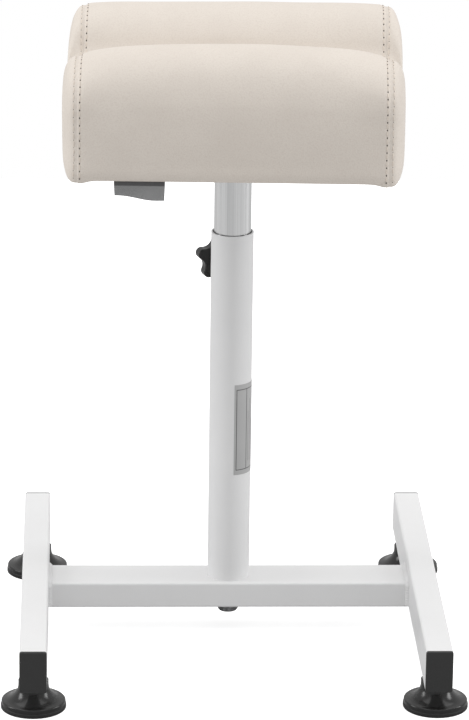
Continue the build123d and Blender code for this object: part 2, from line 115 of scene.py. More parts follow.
def makeStudio():
    half = studio["floorHalf"]
    mesh = bpy.data.meshes.new("Floor")
    edge = [(-half, -half, 0), (half, -half, 0), (half, half, 0), (-half, half, 0)]
    mesh.from_pydata(edge, [], [(0, 1, 2, 3)])
    floor = bpy.data.objects.new("Floor", mesh)
    scene.collection.objects.link(floor)
    paint = bpy.data.materials.new("PaleFloor")
    paint.use_nodes = True
    tree = paint.node_tree
    tree.nodes.clear()
    seen = put(tree, "ShaderNodeLightPath").outputs["Is Camera Ray"]
    colour = put(tree, "ShaderNodeMix", {0: seen, 6: studio["floorBounce"], 7: studio["floorSeen"]},
                 data_type="RGBA").outputs[2]
    matt = put(tree, "ShaderNodeBsdfDiffuse", {"Color": colour}).outputs[0]
    glowing = reckon(tree, "MULTIPLY", seen, studio["floorGlow"])
    glow = put(tree, "ShaderNodeEmission", {"Strength": glowing}).outputs[0]
    lit = put(tree, "ShaderNodeAddShader", {0: matt, 1: glow}).outputs[0]
    put(tree, "ShaderNodeOutputMaterial", {"Surface": lit})
    mesh.materials.append(paint)

    world = bpy.data.worlds.new("Studio")
    world.use_nodes = True
    scene.world = world
    tree = world.node_tree
    tree.nodes.clear()
    seen = put(tree, "ShaderNodeLightPath").outputs["Is Camera Ray"]
    strength = put(tree, "ShaderNodeMapRange", {"Value": seen, "To Min": studio["fill"],
                                                "To Max": studio["backdrop"]})
    sky = put(tree, "ShaderNodeBackground", {"Color": (1, 1, 1, 1), "Strength": strength.outputs[0]})
    put(tree, "ShaderNodeOutputWorld", {"Surface": sky.outputs[0]})

    softbox("TopLight", (0, studio["topBack"], studio["topHeight"]), (studio["topSize"],) * 2,
            studio["topPower"])
    for side in (-1, 1):
        softbox("SideLight", (side * studio["sideAway"], 0, studio["sideHeight"]), studio["sideSize"],
                studio["sidePower"])
    scene.view_settings.view_transform = "Standard"
    scene.view_settings.look = "None"


makeCamera()
makeStudio()
print("camera and lights placed")


# shader groups that several finishes share
def shaderGroup(name, inputs, outputs):
    group = bpy.data.node_groups.new(name, "ShaderNodeTree")
    for title, kind, value in inputs:
        socket = group.interface.new_socket(title, in_out="INPUT", socket_type=kind)
        if value is not None:
            socket.default_value = value
    for title, kind in outputs:
        group.interface.new_socket(title, in_out="OUTPUT", socket_type=kind)
    entry = group.nodes.new("NodeGroupInput")
    leave = group.nodes.new("NodeGroupOutput")
    return group, entry.outputs, leave.inputs


def makeGrain():
    group, entry, leave = shaderGroup(
        "Grain",
        [("Vector", "NodeSocketVector", None), ("Scale", "NodeSocketFloat", 600.0),
         ("Pebble", "NodeSocketFloat", 0.0), ("Stretch", "NodeSocketVector", (1, 1, 1))],
        [("Height", "NodeSocketFloat"), ("Cloud", "NodeSocketFloat")])
    stretched = put(group, "ShaderNodeVectorMath", {0: entry["Vector"], 1: entry["Stretch"]},
                    operation="MULTIPLY").outputs[0]
    ripple = put(group, "ShaderNodeTexNoise", {"Vector": stretched, "Scale": entry["Scale"], "Detail": 3.0,
                                               "Roughness": 0.55})
    cells = put(group, "ShaderNodeTexVoronoi", {"Vector": stretched, "Scale": entry["Scale"]},
                feature="SMOOTH_F1")
    domed = reckon(group, "SUBTRACT", 0.8, cells.outputs["Distance"])
    mixed = put(group, "ShaderNodeMix", {0: entry["Pebble"], 2: ripple.outputs[0], 3: domed})
    cloudScale = reckon(group, "MULTIPLY", entry["Scale"], 0.03)
    group.links.new(mixed.outputs[0], leave["Height"])
    group.links.new(cloudy(group, stretched, cloudScale), leave["Cloud"])
    return group


# edge mask that lightens colour along edges: partly wear, partly a painted highlight on the edges
def makeEdgeWearAndHighlight():
    group, entry, leave = shaderGroup(
        "EdgeWearAndHighlight", [("Vector", "NodeSocketVector", None), ("Width", "NodeSocketFloat", 0.001),
                     ("Amount", "NodeSocketFloat", 1.0)], [("Mask", "NodeSocketFloat")])
    rounded = put(group, "ShaderNodeBevel", {"Radius": entry["Width"]}, samples=4).outputs[0]
    surface = put(group, "ShaderNodeNewGeometry").outputs["Normal"]
    alike = put(group, "ShaderNodeVectorMath", {0: rounded, 1: surface},
                operation="DOT_PRODUCT").outputs["Value"]
    edge = reckon(group, "MULTIPLY", reckon(group, "SUBTRACT", 1.0, alike), 4.0, clamp=True)
    patch = cloudy(group, entry["Vector"], 120.0, 4.0)
    broken = put(group, "ShaderNodeMapRange", {"Value": patch, "From Min": 0.4, "From Max": 0.65}).outputs[0]
    wearAndHighlightMask = reckon(group, "MULTIPLY", reckon(group, "MULTIPLY", edge, broken), entry["Amount"], clamp=True)
    group.links.new(wearAndHighlightMask, leave["Mask"])
    return group


def makeDust():
    group, entry, leave = shaderGroup(
        "Dust", [("Vector", "NodeSocketVector", None), ("Amount", "NodeSocketFloat", 0.3)],
        [("Mask", "NodeSocketFloat")])
    surface = put(group, "ShaderNodeNewGeometry").outputs["Normal"]
    upward = put(group, "ShaderNodeSeparateXYZ", {0: surface}).outputs["Z"]
    lying = put(group, "ShaderNodeMapRange", {"Value": upward, "From Min": 0.3, "From Max": 1.0}).outputs[0]
    specks = cloudy(group, entry["Vector"], 900.0, 4.0)
    drifts = cloudy(group, entry["Vector"], 40.0, 3.0)
    both = reckon(group, "MULTIPLY", specks, drifts)
    mask = reckon(group, "MULTIPLY", reckon(group, "MULTIPLY", both, lying), entry["Amount"], clamp=True)
    group.links.new(mask, leave["Mask"])
    return group


def makeWeave():
    group, entry, leave = shaderGroup(
        "Weave", [("Vector", "NodeSocketVector", None), ("Threads", "NodeSocketFloat", 1600.0)],
        [("Height", "NodeSocketFloat"), ("Mask", "NodeSocketFloat")])
    parts = put(group, "ShaderNodeSeparateXYZ", {0: entry["Vector"]})
    waves = []
    for axis in ("X", "Y"):
        turns = reckon(group, "MULTIPLY", parts.outputs[axis], entry["Threads"])
        waves.append(reckon(group, "SINE", reckon(group, "MULTIPLY", turns, math.pi)))
    crossed = reckon(group, "MULTIPLY", *waves)
    over = reckon(group, "GREATER_THAN", crossed, 0.0)
    lifted = [reckon(group, "ABSOLUTE", wave) for wave in waves]
    height = put(group, "ShaderNodeMix", {0: over, 2: lifted[0], 3: lifted[1]}).outputs[0]
    group.links.new(height, leave["Height"])
    group.links.new(over, leave["Mask"])
    return group


groups = {"grain": makeGrain(), "wearAndHighlight": makeEdgeWearAndHighlight(), "dust": makeDust(), "weave": makeWeave()}
print("shader groups built")


# finishes, one for each material slot
def startFinish(name):
    paint = bpy.data.materials.new(name)
    paint.use_nodes = True
    paint.node_tree.nodes.clear()
    place = put(paint.node_tree, "ShaderNodeTexCoord").outputs["Object"]
    return paint, paint.node_tree, place


def useGroup(tree, name, inputs):
    return put(tree, "ShaderNodeGroup", inputs, node_tree=groups[name]).outputs


def blendColour(tree, share, first, second):
    return put(tree, "ShaderNodeMix", {0: share, 6: first, 7: second}, data_type="RGBA").outputs[2]


def spread(tree, value, low, high, fromLow=0.3, fromHigh=0.7):
    return put(tree, "ShaderNodeMapRange", {"Value": value, "From Min": fromLow, "From Max": fromHigh,
                                            "To Min": low, "To Max": high}).outputs[0]


def bump(tree, height, depth, strength=1.0, over=None):
    inputs = {"Strength": strength, "Distance": depth, "Height": height}
    if over is not None:
        inputs["Normal"] = over
    return put(tree, "ShaderNodeBump", inputs).outputs[0]


def endFinish(tree, inputs):
    shader = put(tree, "ShaderNodeBsdfPrincipled", inputs)
    put(tree, "ShaderNodeOutputMaterial", {"Surface": shader.outputs[0]})


def whitePowderCoat():
    paint, tree, place = startFinish("WhitePowderCoat")
    peel = useGroup(tree, "grain", {"Vector": place, "Scale": 650.0, "Pebble": 0.15})
    wearAndHighlightMask = useGroup(tree, "wearAndHighlight", {"Vector": place, "Width": 0.0012, "Amount": 0.5})["Mask"]
    dusty = useGroup(tree, "dust", {"Vector": place, "Amount": 0.25})["Mask"]
    base = blendColour(tree, spread(tree, peel["Cloud"], 0, 1), (0.785, 0.785, 0.788, 1),
                       (0.805, 0.805, 0.807, 1))
    # lighter edges: partly wear, partly a painted highlight
    wornAndLitColour = blendColour(tree, wearAndHighlightMask, base, (0.86, 0.86, 0.86, 1))
    colour = blendColour(tree, dusty, wornAndLitColour, (0.6, 0.58, 0.55, 1))
    endFinish(tree, {"Base Color": colour, "Roughness": spread(tree, peel["Cloud"], 0.36, 0.46),
                     "IOR": 1.5, "Normal": bump(tree, peel["Height"], 0.00012)})
    return paint


def metalFinish(name, dark, light, roughness, stretch, depth):
    paint, tree, place = startFinish(name)
    brushed = useGroup(tree, "grain", {"Vector": place, "Scale": 500.0, "Stretch": stretch})
    wearAndHighlightMask = useGroup(tree, "wearAndHighlight", {"Vector": place, "Width": 0.0006, "Amount": 0.6})["Mask"]
    base = blendColour(tree, spread(tree, brushed["Height"], 0, 1), dark, light)
    # lighter edges: partly wear, partly a painted highlight
    colour = blendColour(tree, wearAndHighlightMask, base, light)
    rough = spread(tree, brushed["Cloud"], roughness * 0.8, roughness * 1.25)
    endFinish(tree, {"Base Color": colour, "Metallic": 1.0, "Roughness": rough,
                     "Normal": bump(tree, brushed["Height"], depth)})
    return paint


def blackPlastic(name, shade, roughness, scale, depth, dust, coat=0.0):
    paint, tree, place = startFinish(name)
    moulded = useGroup(tree, "grain", {"Vector": place, "Scale": scale, "Pebble": 0.3})
    wearAndHighlightMask = useGroup(tree, "wearAndHighlight", {"Vector": place, "Width": 0.0008, "Amount": 0.7})["Mask"]
    dusty = useGroup(tree, "dust", {"Vector": place, "Amount": dust})["Mask"]
    base = blendColour(tree, spread(tree, moulded["Cloud"], 0, 1), (shade * 0.85,) * 3 + (1,),
                       (shade * 1.15,) * 3 + (1,))
    # lighter edges: partly wear, partly a painted highlight
    wornAndLitColour = blendColour(tree, wearAndHighlightMask, base, (shade * 3.0,) * 3 + (1,))
    colour = blendColour(tree, dusty, wornAndLitColour, (0.32, 0.31, 0.3, 1))
    rough = reckon(tree, "ADD", spread(tree, moulded["Cloud"], roughness * 0.85, roughness * 1.15),
                   reckon(tree, "MULTIPLY", dusty, 0.5), clamp=True)
    endFinish(tree, {"Base Color": colour, "Roughness": rough, "Coat Weight": coat, "Coat Roughness": 0.2,
                     "Normal": bump(tree, moulded["Height"], depth)})
    return paint


def leatherette():
    paint, tree, place = startFinish("CreamLeatherette")
    pebble = useGroup(tree, "grain", {"Vector": place, "Scale": 850.0, "Pebble": 0.7})
    creases = useGroup(tree, "grain", {"Vector": place, "Scale": 260.0})
    base = blendColour(tree, spread(tree, pebble["Cloud"], 0, 1), (0.725, 0.665, 0.602, 1),
                       (0.755, 0.695, 0.63, 1))
    # painted shade: the pits of the grain are darker
    pitShade = spread(tree, pebble["Height"], 0.5, 0.0, 0.2, 0.5)
    colour = blendColour(tree, pitShade, base, (0.66, 0.59, 0.53, 1))
    fine = bump(tree, pebble["Height"], 0.00012, 0.8)
    normal = bump(tree, creases["Height"], 0.0002, 0.5, fine)
    endFinish(tree, {"Base Color": colour, "Roughness": spread(tree, creases["Cloud"], 0.5, 0.6),
                     "Specular IOR Level": 0.1, "Normal": normal})
    return paint


def seamThread():
    paint, tree, place = startFinish("SeamThread")
    twist = cloudy(tree, place, 2500.0)
    colour = blendColour(tree, spread(tree, twist, 0, 1), (0.68, 0.60, 0.52, 1), (0.80, 0.72, 0.64, 1))
    endFinish(tree, {"Base Color": colour, "Roughness": 0.6, "Normal": bump(tree, twist, 0.0001)})
    return paint


# painted shade: near-black dots standing in for the shade inside the needle holes
def needleHoleShade():
    paint, tree, place = startFinish("NeedleHoleShade")
    shadeMottle = cloudy(tree, place, 1500.0)
    colour = blendColour(tree, shadeMottle, (0.03, 0.022, 0.017, 1), (0.09, 0.07, 0.055, 1))
    endFinish(tree, {"Base Color": colour, "Roughness": 0.9})
    return paint


# painted shadow of the cushion's edge, darker across the tape's top: metres below its top edge
tapeTopShadow = {"from": 0.0046, "to": 0.0038, "share": 0.95}


def clothFinish(name, threads, dark, light, depth, sheen, laidOut=None):
    paint, tree, place = startFinish(name)
    across = put(tree, "ShaderNodeUVMap", uv_map=laidOut).outputs[0] if laidOut else place
    woven = useGroup(tree, "weave", {"Vector": across, "Threads": threads})
    fuzz = useGroup(tree, "grain", {"Vector": place, "Scale": 900.0})
    # painted shade between the threads: the weave's low parts take the dark colour
    base = blendColour(tree, spread(tree, woven["Height"], 0, 1, 0.2, 0.9), dark, light)
    colour = blendColour(tree, spread(tree, fuzz["Cloud"], 0, 0.25), base, light)
    if laidOut:
        # painted shadow: the cushion's edge shades a band along the tape's top
        height = put(tree, "ShaderNodeSeparateXYZ", {0: place}).outputs["Z"]
        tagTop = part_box("woven_tag")[1].z
        cushionShadow = spread(tree, height, 0, tapeTopShadow["share"], tagTop - tapeTopShadow["from"], tagTop - tapeTopShadow["to"])
        colour = blendColour(tree, cushionShadow, colour, dark)
    endFinish(tree, {"Base Color": colour, "Roughness": 0.85, "Sheen Weight": sheen, "Sheen Roughness": 0.5,
                     "Normal": bump(tree, woven["Height"], depth)})
    return paint


# label: degrees about the column and metres
label = {"uprights": (-75.5, -43.5, 16.0), "lineTurn": 2.2, "line": 0.0008, "frameBottom": 0.0045,
         "frameTop": 0.0055, "ruleTurn": 2.0, "ink": 0.85, "ruleInk": 0.55,
         "rules": [(-36.0, 0.012, 0.062), (-28.0, 0.012, 0.074), (-20.0, 0.012, 0.054),
                   (-12.0, 0.012, 0.070)]}


def labelFilm():
    paint, tree, place = startFinish("LabelFilm")
    low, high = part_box("rating_label")
    columnLow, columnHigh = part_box("column_tube")
    axisY = (columnLow.y + columnHigh.y) / 2
    parts = put(tree, "ShaderNodeSeparateXYZ", {0: place})
    backward = reckon(tree, "SUBTRACT", parts.outputs["Y"], axisY)
    angle = reckon(tree, "DEGREES", reckon(tree, "ARCTAN2", backward, parts.outputs["X"]))

    def within(value, first, last):
        return reckon(tree, "MULTIPLY", reckon(tree, "GREATER_THAN", value, first),
                      reckon(tree, "LESS_THAN", value, last))

    height = parts.outputs["Z"]
    ink = None
    inside = within(height, low.z + label["frameBottom"], high.z - label["frameTop"])
    for at in label["uprights"]:
        line = reckon(tree, "MULTIPLY", within(angle, at, at + label["lineTurn"]), inside)
        ink = line if ink is None else reckon(tree, "MAXIMUM", ink, line)
    across = within(angle, label["uprights"][0], label["uprights"][-1] + label["lineTurn"])
    for at in (low.z + label["frameBottom"], high.z - label["frameTop"]):
        line = reckon(tree, "MULTIPLY", within(height, at, at + label["line"]), across)
        ink = reckon(tree, "MAXIMUM", ink, line)
    for at, first, last in label["rules"]:
        line = reckon(tree, "MULTIPLY", within(angle, at, at + label["ruleTurn"]),
                      within(height, low.z + first, low.z + last))
        ink = reckon(tree, "MAXIMUM", ink, reckon(tree, "MULTIPLY", line, label["ruleInk"]))
    film = useGroup(tree, "grain", {"Vector": place, "Scale": 300.0})
    base = blendColour(tree, spread(tree, film["Cloud"], 0, 1), (0.43, 0.43, 0.43, 1),
                       (0.49, 0.49, 0.49, 1))
    colour = blendColour(tree, reckon(tree, "MULTIPLY", ink, label["ink"]), base, (0.05, 0.05, 0.05, 1))
    endFinish(tree, {"Base Color": colour, "Roughness": spread(tree, film["Cloud"], 0.38, 0.46),
                     "Normal": bump(tree, film["Height"], 0.00003)})
    return paint


def plywood():
    paint, tree, place = startFinish("Plywood")
    grain = useGroup(tree, "grain", {"Vector": place, "Scale": 120.0, "Stretch": (0.08, 1, 1)})
    layers = put(tree, "ShaderNodeTexWave", {"Vector": place, "Scale": 80.0, "Distortion": 0.6},
                 bands_direction="Z").outputs["Fac"]
    veneer = blendColour(tree, spread(tree, grain["Height"], 0, 1), (0.42, 0.27, 0.15, 1),
                         (0.62, 0.46, 0.3, 1))
    colour = blendColour(tree, spread(tree, layers, 0, 0.35), veneer, (0.3, 0.19, 0.11, 1))
    endFinish(tree, {"Base Color": colour, "Roughness": 0.75, "Normal": bump(tree, grain["Height"], 0.0002)})
    return paint


def foamFinish():
    paint, tree, place = startFinish("Foam")
    pores = useGroup(tree, "grain", {"Vector": place, "Scale": 900.0, "Pebble": 1.0})
    colour = blendColour(tree, pores["Cloud"], (0.75, 0.66, 0.4, 1), (0.82, 0.75, 0.5, 1))
    endFinish(tree, {"Base Color": colour, "Roughness": 0.9, "Normal": bump(tree, pores["Height"], 0.0004)})
    return paint


finishes = {
    "white_powder_coat": whitePowderCoat(),
    "bare_steel": metalFinish("BareSteel", (0.42, 0.42, 0.43, 1), (0.6, 0.6, 0.6, 1), 0.38,
                              (1, 1, 0.2), 0.00005),
    "black_steel": metalFinish("BlackSteel", (0.1, 0.1, 0.105, 1), (0.3, 0.3, 0.3, 1), 0.35,
                               (1, 1, 1), 0.00004),
    "zinc_steel": metalFinish("ZincSteel", (0.5, 0.5, 0.47, 1), (0.72, 0.71, 0.66, 1), 0.3,
                              (1, 1, 1), 0.00004),
    "chrome_tube": metalFinish("ChromeTube", (0.60, 0.603, 0.606, 1), (0.86, 0.862, 0.865, 1), 0.13,
                               (1, 1, 0.004), 0.00001),
    "black_nylon": blackPlastic("BlackNylon", 0.02, 0.45, 900.0, 0.00003, 0.1),
    "knob_plastic": blackPlastic("KnobPlastic", 0.0035, 0.32, 800.0, 0.00005, 0.08),
    "cap_plastic": blackPlastic("CapPlastic", 0.018, 0.5, 700.0, 0.0001, 0.12),
    "foot_plastic": blackPlastic("FootPlastic", 0.004, 0.22, 700.0, 0.00003, 0.1),
    "sole_rubber": blackPlastic("SoleRubber", 0.007, 0.55, 500.0, 0.0001, 0.1),
    "brass_tip": metalFinish("BrassTip", (0.6, 0.42, 0.16, 1), (0.78, 0.58, 0.26, 1), 0.3,
                             (1, 1, 1), 0.00003),
    "label_film": labelFilm(),
    "plywood": plywood(),
    "foam": foamFinish(),
    "cream_leatherette": leatherette(),
    "black_cloth": clothFinish("BlackCloth", 900.0, (0.006, 0.006, 0.007, 1), (0.025, 0.025, 0.027, 1),
                               0.0002, 0.2),
    "grey_tape": clothFinish("GreyTape", 2600.0, (0.10, 0.10, 0.103, 1), (0.40, 0.403, 0.408, 1),
                             0.0001, 0.1, "Tape"),
    "thread": seamThread(),
    "hole": needleHoleShade(),
}
for part in frame["record"]["subparts"]:
    slots = cadNodes[part["node"]].data.materials
    slots.clear()
    slots.append(finishes[part["material_slot"]])
print("finishes made,", len(finishes))


# helpers for meshes and for Geometry Nodes
def addPiece(name, mesh, finish=None):
    if finish:
        mesh.materials.clear()
        mesh.materials.append(finishes[finish])
    piece = bpy.data.objects.new(name, mesh)
    scene.collection.objects.link(piece)
    return piece


def faceOutward(mesh):
    shape = bmesh.new()
    shape.from_mesh(mesh)
    bmesh.ops.remove_doubles(shape, verts=shape.verts, dist=1e-6)
    bmesh.ops.recalc_face_normals(shape, faces=shape.faces)
    shape.to_mesh(mesh)
    shape.free()


def smoothed(mesh):
    mesh.polygons.foreach_set("use_smooth", [True] * len(mesh.polygons))
    return mesh


def readPoints(mesh):
    flat = np.empty(len(mesh.vertices) * 3)
    mesh.vertices.foreach_get("co", flat)
    return flat.reshape(-1, 3)


def evaluatedMesh(piece):
    depsgraph = bpy.context.evaluated_depsgraph_get()
    return bpy.data.meshes.new_from_object(piece.evaluated_get(depsgraph))


def grow(name, source, tree, values):
    modifier = source.modifiers.new("Grow", "NODES")
    modifier.node_group = tree
    for item in tree.interface.items_tree:
        if item.in_out == "INPUT" and item.name in values:
            modifier[item.identifier] = values[item.name]
    mesh = evaluatedMesh(source)
    bpy.data.objects.remove(source)
    mesh.name = name
    return mesh


def growTree(name, inputs):
    tree = bpy.data.node_groups.new(name, "GeometryNodeTree")
    tree.interface.new_socket("Geometry", in_out="INPUT", socket_type="NodeSocketGeometry")
    tree.interface.new_socket("Geometry", in_out="OUTPUT", socket_type="NodeSocketGeometry")
    for title, value in inputs.items():
        kind = "NodeSocketInt" if isinstance(value, int) else "NodeSocketFloat"
        tree.interface.new_socket(title, in_out="INPUT", socket_type=kind).default_value = value
    return tree, put(tree, "NodeGroupInput").outputs, put(tree, "NodeGroupOutput").inputs


def scaled(tree, vector, factor):
    return put(tree, "ShaderNodeVectorMath", {0: vector, "Scale": factor}, operation="SCALE").outputs[0]


def triple(tree, x=0.0, y=0.0, z=0.0):
    return put(tree, "ShaderNodeCombineXYZ", {"X": x, "Y": y, "Z": z}).outputs[0]


def joinedParts(tree, *parts):
    joined = put(tree, "GeometryNodeJoinGeometry")
    for part in parts:
        tree.links.new(part, joined.inputs[0])
    return joined.outputs[0]


def realized(tree, geometry, finish):
    whole = put(tree, "GeometryNodeRealizeInstances", {0: geometry}).outputs[0]
    return put(tree, "GeometryNodeSetMaterial", {"Geometry": whole, "Material": finishes[finish]}).outputs[0]


# the cushion in its own frame: x along it, y from front to back, z up, in metres
cushion = {
    "humpRadius": 0.052, "troughDepth": 0.043, "corner": 0.012,
    "inset": 0.0025,                       # the cover starts this much smaller, and is then filled out
    "seamFromEnd": 0.0100,                 # the end panels are sewn on here
    "endBulge": 0.0170, "bulgeReach": 0.045, "endCentreDrop": 0.012, "endCrowding": 1.7,
    # how far each hump drops: all along, growing slowly, growing fast at the ends
    "frontDrop": (0.0030, 0.0062, 0.0065),
    "rearDrop": (-0.0018, 0.0005, 0.0020),
    "lean": 0.0105,                        # the rear hump stands a little higher at the right end
    "rearReach": 0.045, "liftPower": 1.3,
    "cornerDroop": 0.0035, "droopFrom": 0.04, "droopTo": 0.01, "droopHeight": 0.014, "droopLength": 0.009,
    "outlinePoints": 184, "middleRings": 40, "endRings": 15, "formRings": (40, 10),
    "nearSeam": (0, 0.0007, 0.0014, 0.0022, 0.0029, 0.0037, 0.0050, 0.0075, 0.0110), "denseReach": 0.0155,
    "pressure": 4.0, "voxel": 0.005, "cap": 0.006, "steps": 20, "fill": 0.75, "quality": 6,
    "heldHeight": 0.006, "seamHold": 0.004,  # held still while it fills: the bottom and the seams
    "troughHalf": 0.022, "troughAbove": 0.05, "troughHold": 0.6,
    "quickMove": 0.003, "stillBand": 0.001, "flatBand": 0.010,
    "seamDepth": 0.0016, "seamWidth": 0.0014, "stitchFromSeam": 0.0029, "furrow": 0.0006,
    "furrowWidth": 0.0011, "stitchFloor": 0.004,
    "gather": 0.0011, "gatherReach": 0.016, "gatherStart": 0.002, "gatherScale": 62,
    "soft": 0.0007, "softScale": 16,
}


def turnOf(name):
    points = readPoints(cadNodes[name].data)[:, :2]
    points = points - points.mean(0)
    scatter = points.T @ points
    return 0.5 * math.atan2(2 * scatter[0, 1], scatter[0, 0] - scatter[1, 1])


tubeLow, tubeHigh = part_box("column_tube")
columnAxis = (tubeLow + tubeHigh) / 2
cushionTurn = turnOf("foam_core")
standCushion = Matrix.Translation((columnAxis.x, columnAxis.y, 0)) @ Matrix.Rotation(cushionTurn, 4, "Z")
coverPoints = np.concatenate([readPoints(cadNodes[name].data) for name in
                              ("cover_main_panel", "cover_left_panel", "cover_right_panel")])
intoCushion = np.array(standCushion.inverted())
coverPoints = coverPoints @ intoCushion[:3, :3].T + intoCushion[:3, 3]
halfLength = coverPoints[:, 0].max()
halfDepth = coverPoints[:, 1].max()
cushionBottom, cushionTop = coverPoints[:, 2].min(), coverPoints[:, 2].max()
seamX = halfLength - cushion["seamFromEnd"]
print("cushion turned", round(math.degrees(cushionTurn), 2), "seams at", round(seamX, 4))


def arcPoints(centre, radius, start, end):
    angles = np.linspace(start, end, 60)
    return np.stack([centre[0] + radius * np.cos(angles), centre[1] + radius * np.sin(angles)], 1)


def sectionOutline(count, inset):
    radius, corner = cushion["humpRadius"] - inset, cushion["corner"] - inset
    cornerY, cornerZ = halfDepth - cushion["corner"], cushionBottom + cushion["corner"]
    humpY, humpZ = halfDepth - cushion["humpRadius"], cushionTop - cushion["humpRadius"]
    full = cushion["humpRadius"]
    rise = full - cushion["troughDepth"]
    troughRadius = (humpY ** 2 + rise ** 2 - full ** 2) / (2 * (full - rise))
    troughZ = humpZ + rise + troughRadius
    meeting = math.atan2(troughZ - humpZ, -humpY)
    quarter = math.pi / 2
    rear = [np.array([[0, cushionBottom + inset]]),
            arcPoints((cornerY, cornerZ), corner, -quarter, 0),
            arcPoints((humpY, humpZ), radius, 0, meeting),
            arcPoints((0, troughZ), troughRadius + inset, meeting - math.pi, -quarter)]
    rear = np.concatenate(rear)
    whole = np.concatenate([rear, (rear * (-1, 1))[-2:0:-1]])
    whole = np.concatenate([whole, whole[:1]])
    steps = np.r_[0, np.cumsum(np.linalg.norm(np.diff(whole, axis=0), axis=1))]
    even = np.linspace(0, steps[-1], count, endpoint=False)
    return np.stack([np.interp(even, steps, whole[:, 0]), np.interp(even, steps, whole[:, 1])], 1)


def ease(value, low, high):
    share = np.clip((value - low) / (high - low), 0, 1)
    return share * share * (3 - 2 * share)


def crowned(x, outline):
    along = min(abs(x) / seamX, 1.0)
    drops = [amount[0] + amount[1] * along ** 2 + amount[2] * along ** 8
             for amount in (cushion["frontDrop"], cushion["rearDrop"])]
    y, z = outline[:, 0], outline[:, 1].copy()
    rear = ease(y, -cushion["rearReach"], cushion["rearReach"])
    lift = np.clip((z - cushionBottom) / (cushionTop - cushionBottom), 0, 1) ** cushion["liftPower"]
    z -= (drops[0] * (1 - rear) + drops[1] * rear) * lift
    z += cushion["lean"] * x * lift * rear
    edge = ease(np.abs(y), halfDepth - cushion["droopFrom"], halfDepth - cushion["droopTo"]) \
        * np.exp(-((z - cushionBottom) / cushion["droopHeight"]) ** 2)
    z -= cushion["cornerDroop"] * edge \
        * math.exp(-((min(abs(x), seamX) - seamX) / cushion["droopLength"]) ** 2)
    return np.stack([y, z], 1)


def coverRings(count, inset, middle, endCount):
    section = sectionOutline(count, inset)
    centre = np.array([0, (cushionBottom + cushionTop) / 2 - cushion["endCentreDrop"]])
    shares = 1 - (1 - np.linspace(0, 1, endCount + 1)[1:]) ** cushion["endCrowding"]
    seamRing = len(shares) - 1
    ends = []
    for side in (-1, 1):
        rim = crowned(side * seamX, section)
        for share in shares[:-1]:
            inward = np.linalg.norm(rim - centre, axis=1) * (1 - share)
            rounded = np.sqrt(1 - (1 - np.clip(inward / cushion["bulgeReach"], 0, 1)) ** 2)
            ends.append(np.column_stack([side * (seamX + (cushion["endBulge"] - inset) * rounded),
                                         centre + (rim - centre) * share]))
    near = np.array(cushion["nearSeam"])
    inner = np.linspace(-seamX + cushion["denseReach"], seamX - cushion["denseReach"], middle)
    stations = np.concatenate([-seamX + near, inner, seamX - near[::-1]])
    body = [np.column_stack([np.full(count, x), crowned(x, section)]) for x in stations]
    return np.array(ends[:seamRing] + body + ends[:seamRing - 1:-1]), seamRing


def closedShell(name, rings):
    ringCount, count = rings.shape[:2]
    points = [tuple(point) for ring in rings for point in ring]
    faces = []
    for ring in range(ringCount - 1):
        for index in range(count):
            following = (index + 1) % count
            faces.append((ring * count + index, ring * count + following,
                          (ring + 1) * count + following, (ring + 1) * count + index))
    for ring, flip in ((0, True), (ringCount - 1, False)):
        points.append(tuple(rings[ring].mean(0)))
        pole = len(points) - 1
        for index in range(count):
            edge = (ring * count + index, ring * count + (index + 1) % count)
            faces.append((edge[1], edge[0], pole) if flip else (edge[0], edge[1], pole))
    mesh = bpy.data.meshes.new(name)
    mesh.from_pydata(points, [], faces)
    faceOutward(mesh)
    return mesh


def fillOut():
    rings = coverRings(cushion["outlinePoints"] // 2, cushion["inset"], *cushion["formRings"])[0]
    proxy = addPiece("CushionForm", closedShell("CushionForm", rings))
    remesh = proxy.modifiers.new("Even", "REMESH")
    remesh.mode = "VOXEL"
    remesh.voxel_size = cushion["voxel"]
    even = evaluatedMesh(proxy)
    bpy.data.objects.remove(proxy)
    proxy = addPiece("CushionForm", even)
    before = readPoints(even)
    pins = proxy.vertex_groups.new(name="Held")
    flat = before[:, 2] < cushionBottom + cushion["inset"] + cushion["heldHeight"]
    seam = np.abs(np.abs(before[:, 0]) - seamX) < cushion["seamHold"]
    for index in np.nonzero(flat | seam)[0]:
        pins.add([int(index)], 1.0, "REPLACE")
    trough = (np.abs(before[:, 1]) < cushion["troughHalf"]) \
        & (before[:, 2] > cushionBottom + cushion["troughAbove"]) & ~seam
    for index in np.nonzero(trough)[0]:
        pins.add([int(index)], cushion["troughHold"], "REPLACE")
    cloth = proxy.modifiers.new("Cloth", "CLOTH")
    cloth.settings.quality = cushion["quality"]
    cloth.settings.use_pressure = True
    cloth.settings.uniform_pressure_force = cushion["pressure"]
    cloth.settings.vertex_group_mass = "Held"
    cloth.settings.effector_weights.gravity = 0
    cloth.point_cache.frame_start = 1
    cloth.point_cache.frame_end = cushion["steps"]
    for step in range(1, cushion["steps"] + 1):
        scene.frame_set(step)
    filled = evaluatedMesh(proxy)
    move = readPoints(filled) - before
    scene.frame_set(1)
    bpy.data.objects.remove(proxy)
    size = np.linalg.norm(move, axis=1, keepdims=True)
    capped = move * cushion["cap"] * np.tanh(size / cushion["cap"]) / np.maximum(size, 1e-9)
    print("cushion filled out, points move", round(float(size.max()), 4), "before the cap")
    return before, capped


def carryOver(points, before, move):
    tree = KDTree(len(before))
    for index, point in enumerate(before):
        tree.insert(point, index)
    tree.balance()
    moved = np.zeros_like(points)
    for index, point in enumerate(points):
        near = tree.find_n(point, 8)
        weights = np.array([1 / (distance ** 2 + 1e-5) for _, _, distance in near])
        moved[index] = (move[[found for _, found, _ in near]] * weights[:, None]).sum(0) / weights.sum()
    return moved


